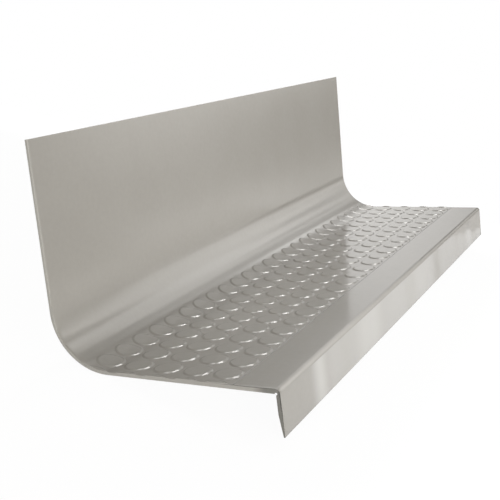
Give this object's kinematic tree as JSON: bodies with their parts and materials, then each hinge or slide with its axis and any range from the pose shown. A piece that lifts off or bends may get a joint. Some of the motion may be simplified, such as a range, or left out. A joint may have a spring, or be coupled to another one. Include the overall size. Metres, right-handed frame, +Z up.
{
  "type": "rubber stair tread with riser",
  "caption": "One-piece moulded rubber stair covering: tread with raised discs, square nose with a flap, and a coved riser panel.",
  "frame": {"origin": "centre of the bounding box at the floor, with the piece at rest on the edge of its flap and the underside of its cove", "axes": "+X along the step to the right seen from the nose, +Y from the nose towards the riser, +Z up; the tread slopes down 13 degrees towards the riser"},
  "size_m": [0.914, 0.3306, 0.2314],
  "materials": {
    "rubber": "satin"
  },
  "bodies": {
    "root": {"tread_with_riser": "rubber"}
  },
  "joints": []
}
